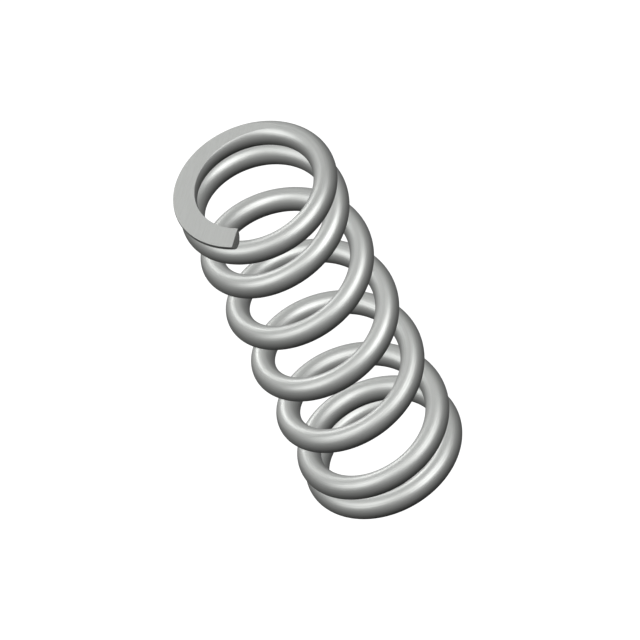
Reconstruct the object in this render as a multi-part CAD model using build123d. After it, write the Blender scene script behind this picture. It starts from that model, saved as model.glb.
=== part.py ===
from build123d import *
import math
import os

# Helical compression spring of round wire, wound right-handed, with closed ends ground flat.
# The spring stands on its lower ground face, centred on its own axis. Sizes are in millimetres.

outer_diameter = 12.7
wire_diameter = 1.829
free_length = 33.6  # from one ground face to the other, with no load
total_turns = 7.5
closed_turns = 1.0  # at each end, wound so that the coils almost touch
transition_turns = 1.0  # at each end, next to the closed turns, where the pitch opens evenly
closed_gap = 0.02  # hairline left between the closed coils
tip_thickness = 0.88  # wire left at each tip by the grinding
tip_angle = 0.0  # direction of the lower tip, in degrees from +X

# The wire is made in stretches of half a turn at most, each lofted through outlines set across it.
longest_stretch = 0.5
sections_per_turn = 24

wire_radius = wire_diameter / 2
coil_radius = (outer_diameter - wire_diameter) / 2  # from the axis to the middle of the wire
closed_pitch = wire_diameter + closed_gap
tip_height = tip_thickness - wire_radius  # of the middle of the wire, above the ground face
active_turns = total_turns - 2 * (closed_turns + transition_turns)

# What the closed turns leave of the free length is shared by the active turns and the transitions.
closed_rise = tip_height + closed_turns * closed_pitch
open_rise = free_length - 2 * closed_rise - transition_turns * closed_pitch
active_pitch = open_rise / (active_turns + transition_turns)


def pitch_at(turn):
    """Rise of one whole turn, at this many turns from the lower tip."""
    from_tip = min(turn, total_turns - turn)
    opened = (from_tip - closed_turns) / transition_turns
    return closed_pitch + (active_pitch - closed_pitch) * min(max(opened, 0.0), 1.0)


def rise_from_tip(turn):
    """Height of the middle of the wire above the nearer ground face, this many turns from its tip."""
    past_closed = max(turn - closed_turns, 0.0)
    opening = min(past_closed, transition_turns)
    opened = past_closed - opening
    extra_turns = opening**2 / (2 * transition_turns) + opened
    return tip_height + closed_pitch * turn + (active_pitch - closed_pitch) * extra_turns


def height_at(turn):
    """Height of the middle of the wire above the lower ground face."""
    if turn <= total_turns / 2:
        return rise_from_tip(turn)
    return free_length - rise_from_tip(total_turns - turn)


def plane_across_wire(turn):
    """Plane square to the wire, with its origin on the middle of the wire and X pointing outward."""
    angle = math.radians(tip_angle + 360 * turn)
    outward = Vector(math.cos(angle), math.sin(angle), 0)
    sideways = Vector(-math.sin(angle), math.cos(angle), 0)
    middle = outward * coil_radius + Vector(0, 0, height_at(turn))
    along_wire = sideways * (2 * math.pi * coil_radius) + Vector(0, 0, pitch_at(turn))
    return Plane(origin=middle, x_dir=outward, z_dir=along_wire)


def divide(first, last, longest):
    """Evenly spaced turns from first to last, no further apart than longest."""
    count = max(1, math.ceil(round((last - first) / longest, 6)))
    return [first + (last - first) * step / count for step in range(count + 1)]


def wire_outline(turn):
    """Round outline of the wire at one place, in two halves so that its surface takes fewer facets."""
    across = plane_across_wire(turn)
    lower_half = Edge.make_circle(wire_radius, across, start_angle=0, end_angle=180)
    upper_half = Edge.make_circle(wire_radius, across, start_angle=180, end_angle=360)
    return Wire([lower_half, upper_half])


def wire_stretch(first, last):
    """One stretch of plain round wire, between two places on the coil."""
    turns = divide(first, last, 1 / sections_per_turn)
    return Solid.make_loft([wire_outline(turn) for turn in turns])


def wound_coil():
    """The whole coil as it leaves the winding machine, before its ends are ground."""
    end_of_closed = closed_turns
    end_of_opening = closed_turns + transition_turns
    changes = [0.0, end_of_closed, end_of_opening]
    changes += [total_turns - turn for turn in reversed(changes)]
    stretches = []
    for first, last in zip(changes, changes[1:]):
        joints = divide(first, last, longest_stretch)
        stretches += [wire_stretch(*pair) for pair in zip(joints, joints[1:])]
    return stretches[0].fuse(*stretches[1:])


def space_between_ground_faces():
    """Everything that the two grinding wheels leave."""
    width = 2 * outer_diameter
    return Box(width, width, free_length, align=(Align.CENTER, Align.CENTER, Align.MIN))


coil_spring = wound_coil() & space_between_ground_faces()

os.makedirs("parts", exist_ok=True)
export_step(coil_spring, "parts/coil_spring.step")
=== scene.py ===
import math
from collections import namedtuple

import bpy
from mathutils import Matrix, Vector


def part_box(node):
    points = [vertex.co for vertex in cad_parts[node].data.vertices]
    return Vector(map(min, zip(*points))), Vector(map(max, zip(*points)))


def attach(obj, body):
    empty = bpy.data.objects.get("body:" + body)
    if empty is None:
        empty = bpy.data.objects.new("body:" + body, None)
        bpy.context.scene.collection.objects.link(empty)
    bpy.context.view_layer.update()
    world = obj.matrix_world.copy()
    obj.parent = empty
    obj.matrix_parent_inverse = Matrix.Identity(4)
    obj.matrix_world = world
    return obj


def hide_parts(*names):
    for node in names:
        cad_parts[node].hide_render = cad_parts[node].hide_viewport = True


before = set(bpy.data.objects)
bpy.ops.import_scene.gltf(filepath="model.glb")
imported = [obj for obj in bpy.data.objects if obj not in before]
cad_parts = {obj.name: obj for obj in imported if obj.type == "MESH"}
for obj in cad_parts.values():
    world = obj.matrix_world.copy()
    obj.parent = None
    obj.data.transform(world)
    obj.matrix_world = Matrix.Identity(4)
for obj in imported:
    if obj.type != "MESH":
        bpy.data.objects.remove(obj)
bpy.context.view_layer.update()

# The spring: the same wire and the same winding as the solid, in metres.
MM = 0.001
coil_low, coil_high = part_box("coil_spring")
outer_diameter = coil_high.x - coil_low.x
free_length = coil_high.z - coil_low.z
wire_diameter = 1.829 * MM
total_turns = 7.5
closed_turns = 1.0  # at each end
transition_turns = 1.0  # at each end, next to the closed turns, where the pitch opens evenly
closed_gap = 0.02 * MM
tip_thickness = 0.88 * MM
edge_rounding = 0.035 * MM  # of the deburred edges of the ground faces and the tips

wire_radius = wire_diameter / 2
core_radius = wire_radius - edge_rounding
coil_radius = (outer_diameter - wire_diameter) / 2  # from the axis to the middle of the wire
turn_length = 2 * math.pi * coil_radius  # of one turn, seen from above
closed_pitch = wire_diameter + closed_gap
tip_height = tip_thickness - wire_radius  # of the middle of the wire, above the ground face
active_turns = total_turns - 2 * (closed_turns + transition_turns)

# What the closed turns leave of the free length is shared by the active turns and the transitions.
closed_rise = tip_height + closed_turns * closed_pitch
open_rise = free_length - 2 * closed_rise - transition_turns * closed_pitch
active_pitch = open_rise / (active_turns + transition_turns)

# The mesh of the wire: rings of points round it, and how finely its ends are divided.
RINGS_PER_TURN = 120
POINTS_AROUND = 48
TIP_ROUNDING_STEPS = (85, 60, 35, 0)  # degrees round the edge of a tip, from its end face
FLAT_END_RINGS = 12  # more rings where a ground face runs out, closer together towards its end
FLAT_END_STRETCH = 1 / 30  # the part of a turn that they are spread over
TURN_DIGITS = 6  # decimals in the place of a ring
HALVINGS = 50  # in the search for the end of a ground face
WIRE, GROUND, SHEARED = 0, 1, 2  # the material slots of the mesh
STRAIGHT_WIRE = "straight_wire"  # the attribute that holds where a point would be if the wire were straight

# The steels, each as the colours of its dark and its light marks.
WIRE_DARK, WIRE_LIGHT = (0.55, 0.562, 0.546), (0.625, 0.64, 0.622)
GROUND_DARK, GROUND_LIGHT = (0.556, 0.567, 0.551), (0.586, 0.598, 0.582)
SHEARED_DARK, SHEARED_LIGHT = (0.39, 0.4, 0.387), (0.513, 0.525, 0.508)
NOISE_REACH = 0.12  # the part of a noise that the tones are spread over, each side of its middle

# The photograph's view: where the camera is, how far the picture leans, and how the spring lies in it.
PHOTO_AZIMUTH = math.radians(-55.9)
PHOTO_ELEVATION = math.radians(45.99)
PHOTO_LEAN = math.radians(26.12)
PHOTO_PIXELS = 640
OUTER_DIAMETER_PIXELS = 167.73
LOWER_FACE_PIXEL = (387.77, 458.41)  # the middle of the lower ground face
METRES_PER_PIXEL = outer_diameter / OUTER_DIAMETER_PIXELS
CAMERA_DISTANCE = 0.1
CLIP_DISTANCES = (0.001, 2.0)

# A pale floor that curves up into a pale wall all round. It is white by its own light, because nothing in
# the photograph casts a shadow, and its light doesn't reach the spring, whose undersides are dark there.
FLOOR_RADIUS = 0.25
FLOOR_SIDES = 96
COVE_RADIUS = 0.12
COVE_STEPS = 12
WALL_HEIGHT = 0.5
WALL_THICKNESS = 0.005
FLOOR_GLOW = 1.12  # a little over white, which keeps the spring's outline as dark as it is in the photograph

# Soft light from all round above, darker towards the ground, as (height of the direction, brightness).
SKY = ((-1.0, 0.0), (-0.75, 0.065), (0.25, 0.325), (1.0, 0.61))

# Large soft lights without shadows: (name, azimuth and elevation in degrees, width in degrees, strength).
LIGHTS = (
    ("key", 265, 60, 48, 0.99),
    ("fill", 130, 55, 48, 0.63),
    ("rim", 43, 20, 20, 0.23),
    ("side", 40, 15, 80, 0.38),
)


def rise_from_tip(turn):
    """Height of the middle of the wire above the nearer ground face, this many turns from its tip."""
    past_closed = max(turn - closed_turns, 0.0)
    opening = min(past_closed, transition_turns)
    opened = past_closed - opening
    extra_turns = opening**2 / (2 * transition_turns) + opened
    return tip_height + closed_pitch * turn + (active_pitch - closed_pitch) * extra_turns


def pitch_at(turn):
    """Rise of one whole turn, at this many turns from the lower tip."""
    from_tip = min(turn, total_turns - turn)
    opened = (from_tip - closed_turns) / transition_turns
    return closed_pitch + (active_pitch - closed_pitch) * min(max(opened, 0.0), 1.0)


def facing_at(step):
    """How far outward and upward the wire faces at this step round it. The first step is its underside."""
    angle = 2 * math.pi * step / POINTS_AROUND - math.pi / 2
    return math.cos(angle), math.sin(angle)


def flat_step(side):
    """The step round the wire that faces the ground face, which is below it or above it."""
    return 0 if side < 0 else POINTS_AROUND // 2


class Place:
    """One place on the wire, with its section: a core, and round it the surface, off it by the edge rounding.
    A ground face cuts the core flat, and leaves it two corners, which the surface goes round."""

    def __init__(self, turn, rounding=0.0, end=0):
        """rounding is how far round the edge of a tip the place is, in radians, and end is the way along the
        wire in which that tip's end face looks."""
        angle = 2 * math.pi * turn
        sideways = Vector((-math.sin(angle), math.cos(angle), 0))
        self.outward = Vector((math.cos(angle), math.sin(angle), 0))
        self.along = (sideways * turn_length + Vector((0, 0, pitch_at(turn)))).normalized()
        self.upward = self.outward.cross(self.along)
        self.length = turn_length * turn

        upper = turn > total_turns / 2
        rise = rise_from_tip(min(turn, total_turns - turn))
        height = free_length - rise if upper else rise
        self.middle = self.outward * coil_radius + Vector((0, 0, height))

        # reach is how far away the ground face is in the section. It is below the wire where side is -1 and
        # above it where side is 1, and where side is 0 the wire is whole.
        reach = rise / self.upward.z
        self.side = 0 if reach >= wire_radius else (1 if upper else -1)
        self.cut = reach - edge_rounding
        self.corner = math.sqrt(max(core_radius**2 - self.cut**2, 0.0))

        # Round the edge of a tip the surface draws in to the core and turns towards the end face.
        self.off_core = edge_rounding * math.cos(rounding)
        self.sideward, self.endward = math.cos(rounding), end * math.sin(rounding)

    def on_flat(self, step):
        """Whether this step faces the ground face. It then has a point at each edge of that face."""
        return self.side != 0 and step == flat_step(self.side)

    def in_corner(self, step):
        """Whether this step goes round a corner of the core."""
        return self.side * facing_at(step)[1] * core_radius > self.cut

    def signs(self, step):
        """The sides of the section, outer as 1 and inner as -1, on which this step has a point."""
        if self.on_flat(step):
            return -self.side, self.side
        return (math.copysign(1, facing_at(step)[0]),)

    def surface(self, step, sign):
        """A point of the surface and its normal, and where the point would be if the wire were straight."""
        across, up = facing_at(step)
        core_x, core_y = core_radius * across, core_radius * up
        if self.in_corner(step):
            core_x, core_y = sign * self.corner, self.side * self.cut
        x, y = core_x + self.off_core * across, core_y + self.off_core * up
        point = self.middle + self.outward * x + self.upward * y
        normal = self.outward * across + self.upward * up
        if self.on_flat(step):
            ground_face = 0.0 if self.side < 0 else free_length
            point.z = ground_face - self.side * (edge_rounding - self.off_core)
            normal = Vector((0, 0, self.side))
        normal = normal * self.sideward + self.along * self.endward
        return point, normal.normalized(), (wire_radius * across, wire_radius * up, self.length)


def turn_at_flat_end():
    """The number of turns from a tip at which the wire leaves the ground face."""
    low_turn, high_turn = 0.0, closed_turns
    for _ in range(HALVINGS):
        turn = (low_turn + high_turn) / 2
        if Place(turn).side:
            low_turn = turn
        else:
            high_turn = turn
    return low_turn


def ring_turns():
    """The places of the rings between the tips, closer together where the ground face runs out."""
    count = round(total_turns * RINGS_PER_TURN)
    turns = {round(step / RINGS_PER_TURN, TURN_DIGITS) for step in range(1, count)}
    flat_end = turn_at_flat_end()
    for step in range(FLAT_END_RINGS):
        before_end = (step / FLAT_END_RINGS) ** 2 * FLAT_END_STRETCH
        near = round(flat_end - before_end, TURN_DIGITS)
        turns |= {near, total_turns - near}
    return sorted(turns)


def wire_places():
    """All the places at which the wire has a ring of points, from the lower tip to the upper one."""
    lower_tip, upper_tip = [], []
    for degrees in TIP_ROUNDING_STEPS:
        rounding = math.radians(degrees)
        inset = edge_rounding * (1 - math.sin(rounding)) / turn_length
        lower_tip.append(Place(inset, rounding, end=-1))
        upper_tip.insert(0, Place(total_turns - inset, rounding, end=1))
    return lower_tip + [Place(turn) for turn in ring_turns()] + upper_tip


# One ring of points. Each step round it has the point where the next face starts and the point where the last
# one ends, which are two points at a ground face and one elsewhere, and says whether it goes round a corner.
Ring = namedtuple("Ring", "starts ends cornered side")


class WireMesh:
    """Collects the wire's points and faces, ring by ring."""

    def __init__(self):
        self.points, self.normals, self.straight = [], [], []
        self.faces, self.slots = [], []

    def point(self, point, normal, straight):
        """Adds a point and gives its number."""
        self.points.append(point)
        self.normals.append(normal)
        self.straight.append(straight)
        return len(self.points) - 1

    def face(self, corners, slot):
        """Adds a face with the material in this slot."""
        self.faces.append(corners)
        self.slots.append(slot)

    def ring(self, place):
        """Adds the points round the wire at one place."""
        starts, ends, cornered = [], [], []
        for step in range(POINTS_AROUND):
            made = [self.point(*place.surface(step, sign)) for sign in place.signs(step)]
            starts.append(made[0])
            ends.append(made[-1])
            cornered.append(place.in_corner(step))
        return Ring(starts, ends, cornered, place.side)

    def join(self, one, two):
        """Faces between two rings, and the strip of the ground face where there is one."""
        for step in range(POINTS_AROUND):
            after = (step + 1) % POINTS_AROUND
            on_edge = all(ring.cornered[near] for ring in (one, two) for near in (step, after))
            corners = (one.starts[step], two.starts[step], two.ends[after], one.ends[after])
            self.face(corners, GROUND if on_edge else WIRE)
        side = one.side or two.side
        if side:
            step = flat_step(side)
            corners = [one.ends[step], two.ends[step], two.starts[step], one.starts[step]]
            self.face(list(dict.fromkeys(corners)), GROUND)  # a triangle where the ground face runs out

    def cap(self, ring, end):
        """The flat end face of a tip."""
        split = flat_step(ring.side)
        order = [(split + step) % POINTS_AROUND for step in range(POINTS_AROUND)]
        corners = [ring.starts[step] for step in order] + [ring.ends[split]]
        self.face(corners if end < 0 else corners[::-1], SHEARED)

    def finished(self, name):
        """The mesh, with its exact normals and its straightened coordinates."""
        mesh = bpy.data.meshes.new(name)
        mesh.from_pydata(self.points, [], self.faces)
        mesh.polygons.foreach_set("material_index", self.slots)
        mesh.polygons.foreach_set("use_smooth", [True] * len(mesh.polygons))
        straight = mesh.attributes.new(STRAIGHT_WIRE, "FLOAT_VECTOR", "POINT")
        straight.data.foreach_set("vector", [value for point in self.straight for value in point])
        mesh.update()
        mesh.normals_split_custom_set_from_vertices(self.normals)
        return mesh


def wire_mesh():
    """The whole wire as one closed mesh."""
    wire = WireMesh()
    rings = [wire.ring(place) for place in wire_places()]
    for one, two in zip(rings, rings[1:]):
        wire.join(one, two)
    wire.cap(rings[0], -1)
    wire.cap(rings[-1], 1)
    return wire.finished("spring_wire")


def add_range(nodes, links, value, before, after):
    """Maps a value evenly from one range, as (from, to), to another, and holds it at their ends."""
    node = nodes.new("ShaderNodeMapRange")
    for socket, limit in zip(("From Min", "From Max", "To Min", "To Max"), (*before, *after)):
        node.inputs[socket].default_value = limit
    links.new(value, node.inputs["Value"])
    return node.outputs["Result"]


class Steel:
    """A steel, and the nodes that give it its marks."""

    def __init__(self, name):
        self.material = bpy.data.materials.new(name)
        self.material.use_nodes = True
        self.nodes, self.links = self.material.node_tree.nodes, self.material.node_tree.links
        self.shader = self.nodes["Principled BSDF"]
        self.shader.inputs["Metallic"].default_value = 1.0

    def noise(self, place, per_metre, detail, roughness=0.5):
        """Noise with this many grains to the metre along each axis of place."""
        mapping = self.nodes.new("ShaderNodeMapping")
        mapping.inputs["Scale"].default_value = per_metre
        self.links.new(place, mapping.inputs["Vector"])
        noise = self.nodes.new("ShaderNodeTexNoise")
        noise.inputs["Scale"].default_value = 1.0
        noise.inputs["Detail"].default_value = detail
        noise.inputs["Roughness"].default_value = roughness
        self.links.new(mapping.outputs["Vector"], noise.inputs["Vector"])
        return noise.outputs["Fac"]

    def mixed(self, first, second, share):
        """Two noises mixed, with this share of the second."""
        mix = self.nodes.new("ShaderNodeMix")
        mix.inputs["Factor"].default_value = share
        self.links.new(first, mix.inputs["A"])
        self.links.new(second, mix.inputs["B"])
        return mix.outputs["Result"]

    def spread(self, marks, dark, light):
        """The middle part of a noise, spread from dark to light."""
        return add_range(self.nodes, self.links, marks, (0.5 - NOISE_REACH, 0.5 + NOISE_REACH), (dark, light))

    def colour(self, marks, dark, light):
        """Colours the dark and the light marks, and what lies between them."""
        mix = self.nodes.new("ShaderNodeMix")
        mix.data_type = "RGBA"
        mix.inputs["A"].default_value = (*dark, 1)
        mix.inputs["B"].default_value = (*light, 1)
        self.links.new(self.spread(marks, 0.0, 1.0), mix.inputs["Factor"])
        self.links.new(mix.outputs["Result"], self.shader.inputs["Base Color"])

    def roughen(self, marks, dark, light):
        """Sets how rough the dark and the light marks are."""
        self.links.new(self.spread(marks, dark, light), self.shader.inputs["Roughness"])

    def emboss(self, marks, depth):
        """Makes the marks stand out by this depth, in metres."""
        bump = self.nodes.new("ShaderNodeBump")
        bump.inputs["Distance"].default_value = depth
        self.links.new(marks, bump.inputs["Height"])
        self.links.new(bump.outputs["Normal"], self.shader.inputs["Normal"])


def drawn_wire():
    """Drawn spring wire: satin steel with fine lines along it, which the drawing die leaves."""
    steel = Steel("drawn_wire")
    straight = steel.nodes.new("ShaderNodeAttribute")
    straight.attribute_name = STRAIGHT_WIRE
    place = straight.outputs["Vector"]
    lines = steel.noise(place, per_metre=(9000, 9000, 45), detail=4, roughness=0.65)
    bands = steel.noise(place, per_metre=(2200, 2200, 25), detail=2)
    patches = steel.noise(place, per_metre=(500, 500, 260), detail=4)
    drawn = steel.mixed(lines, bands, share=0.25)
    tone = steel.mixed(drawn, patches, share=0.25)
    steel.colour(tone, WIRE_DARK, WIRE_LIGHT)
    steel.roughen(tone, dark=0.48, light=0.36)
    steel.emboss(drawn, depth=0.002 * MM)
    return steel.material


def ground_steel():
    """Ground end face: even, with the straight fine scratches of the grinding wheel."""
    steel = Steel("ground_steel")
    place = steel.nodes.new("ShaderNodeTexCoord").outputs["Object"]
    scratches = steel.noise(place, per_metre=(900, 16000, 900), detail=4, roughness=0.6)
    broad = steel.noise(place, per_metre=(250, 1800, 250), detail=2)
    marks = steel.mixed(scratches, broad, share=0.3)
    steel.colour(marks, GROUND_DARK, GROUND_LIGHT)
    steel.roughen(marks, dark=0.49, light=0.43)
    steel.emboss(marks, depth=0.0006 * MM)
    return steel.material


def sheared_steel():
    """The end of the wire where it was cut off: duller and darker, with a coarse grain."""
    steel = Steel("sheared_steel")
    place = steel.nodes.new("ShaderNodeTexCoord").outputs["Object"]
    grain = steel.noise(place, per_metre=(9000, 9000, 3500), detail=5, roughness=0.6)
    steel.colour(grain, SHEARED_DARK, SHEARED_LIGHT)
    steel.roughen(grain, dark=0.68, light=0.55)
    steel.emboss(grain, depth=0.006 * MM)
    return steel.material


def photo_camera():
    """A camera that looks as the photograph does, and leans so that the spring leans as it does there."""
    toward_camera = Vector((
        math.sin(PHOTO_AZIMUTH) * math.cos(PHOTO_ELEVATION),
        -math.cos(PHOTO_AZIMUTH) * math.cos(PHOTO_ELEVATION),
        math.sin(PHOTO_ELEVATION),
    ))
    level_right = Vector((math.cos(PHOTO_AZIMUTH), math.sin(PHOTO_AZIMUTH), 0))
    level_up = toward_camera.cross(level_right)
    right = level_right * math.cos(PHOTO_LEAN) - level_up * math.sin(PHOTO_LEAN)
    up = level_right * math.sin(PHOTO_LEAN) + level_up * math.cos(PHOTO_LEAN)

    # The middle of the picture, measured from the middle of the lower ground face.
    right_of_face = (PHOTO_PIXELS / 2 - LOWER_FACE_PIXEL[0]) * METRES_PER_PIXEL
    above_face = (LOWER_FACE_PIXEL[1] - PHOTO_PIXELS / 2) * METRES_PER_PIXEL
    aim = right * right_of_face + up * above_face

    lens = bpy.data.cameras.new("photo_camera")
    lens.type = "ORTHO"
    lens.ortho_scale = PHOTO_PIXELS * METRES_PER_PIXEL
    lens.clip_start, lens.clip_end = CLIP_DISTANCES
    camera = bpy.data.objects.new("photo_camera", lens)
    camera.matrix_world = Matrix((right, up, toward_camera)).transposed().to_4x4()
    camera.location = aim + toward_camera * CAMERA_DISTANCE
    bpy.context.collection.objects.link(camera)
    return camera


def floor_profile():
    """The floor's section outward from its middle, as (radius, height). The wall's outside goes down past the
    floor, for a camera close to the ground."""
    profile = []
    for step in range(COVE_STEPS + 1):
        turned = math.pi / 2 * step / COVE_STEPS
        profile.append((FLOOR_RADIUS + COVE_RADIUS * math.sin(turned), COVE_RADIUS * (1 - math.cos(turned))))
    inside = FLOOR_RADIUS + COVE_RADIUS
    outside = inside + WALL_THICKNESS
    return profile + [(inside, WALL_HEIGHT), (outside, WALL_HEIGHT), (outside, -WALL_HEIGHT)]


def floor_mesh():
    """The floor and its wall: the profile turned round the vertical."""
    profile = floor_profile()
    points = [(0, 0, 0)]
    for radius, height in profile:
        for side in range(FLOOR_SIDES):
            angle = 2 * math.pi * side / FLOOR_SIDES
            points.append((radius * math.cos(angle), radius * math.sin(angle), height))
    faces = []
    for side in range(FLOOR_SIDES):
        after = (side + 1) % FLOOR_SIDES
        faces.append((0, 1 + side, 1 + after))
        for row in range(len(profile) - 1):
            near, far = 1 + row * FLOOR_SIDES, 1 + (row + 1) * FLOOR_SIDES
            faces.append((near + side, far + side, far + after, near + after))
    mesh = bpy.data.meshes.new("studio_floor")
    mesh.from_pydata(points, [], faces)
    return mesh


def glowing_paper():
    """White paper that shines by itself and takes no light from outside."""
    paper = bpy.data.materials.new("floor_paper")
    paper.use_nodes = True
    shader = paper.node_tree.nodes["Principled BSDF"]
    shader.inputs["Base Color"].default_value = (0, 0, 0, 1)
    shader.inputs["Specular IOR Level"].default_value = 0.0
    shader.inputs["Emission Color"].default_value = (1, 1, 1, 1)
    shader.inputs["Emission Strength"].default_value = FLOOR_GLOW
    return paper


def studio_floor():
    """The floor, which only the camera sees: it lights nothing, shades nothing and isn't mirrored."""
    floor = bpy.data.objects.new("studio_floor", floor_mesh())
    floor.data.materials.append(glowing_paper())
    floor.visible_glossy = False
    floor.visible_diffuse = False
    floor.visible_shadow = False
    bpy.context.collection.objects.link(floor)
    return floor


def studio_sky():
    """The soft light from all round, as SKY gives it."""
    world = bpy.data.worlds.new("studio")
    world.use_nodes = True
    nodes, links = world.node_tree.nodes, world.node_tree.links
    direction = nodes.new("ShaderNodeSeparateXYZ")
    links.new(nodes.new("ShaderNodeTexCoord").outputs["Generated"], direction.inputs["Vector"])
    ramp = nodes.new("ShaderNodeValToRGB")
    links.new(add_range(nodes, links, direction.outputs["Z"], (-1, 1), (0, 1)), ramp.inputs["Fac"])
    stops = ramp.color_ramp.elements
    while len(stops) < len(SKY):
        stops.new(0.5)
    for stop, (height, tone) in zip(stops, SKY):
        stop.position = (height + 1) / 2
        stop.color = (tone, tone, tone, 1)
    links.new(ramp.outputs["Color"], nodes["Background"].inputs["Color"])
    return world


def add_light(name, azimuth, elevation, width, strength):
    """One of the large soft lights."""
    light = bpy.data.lights.new(name, "SUN")
    light.angle = math.radians(width)
    light.energy = strength
    light.use_shadow = False
    lamp = bpy.data.objects.new(name, light)
    turned, raised = math.radians(azimuth), math.radians(elevation)
    level = math.cos(raised)
    toward_light = Vector((level * math.cos(turned), level * math.sin(turned), math.sin(raised)))
    lamp.rotation_euler = toward_light.to_track_quat("Z", "Y").to_euler()
    bpy.context.collection.objects.link(lamp)


coil = bpy.data.objects.new("spring_coil", wire_mesh())
for steel in (drawn_wire(), ground_steel(), sheared_steel()):  # as the slots WIRE, GROUND and SHEARED say
    coil.data.materials.append(steel)
bpy.context.collection.objects.link(coil)
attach(coil, "root")
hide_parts("coil_spring")
coil.visible_glossy = False  # one coil doesn't mirror the next in the photograph, so its undersides stay dark

floor = studio_floor()

bpy.context.scene.camera = photo_camera()
bpy.context.scene.world = studio_sky()
for light in LIGHTS:
    add_light(*light)
bpy.context.scene.view_settings.view_transform = "Standard"
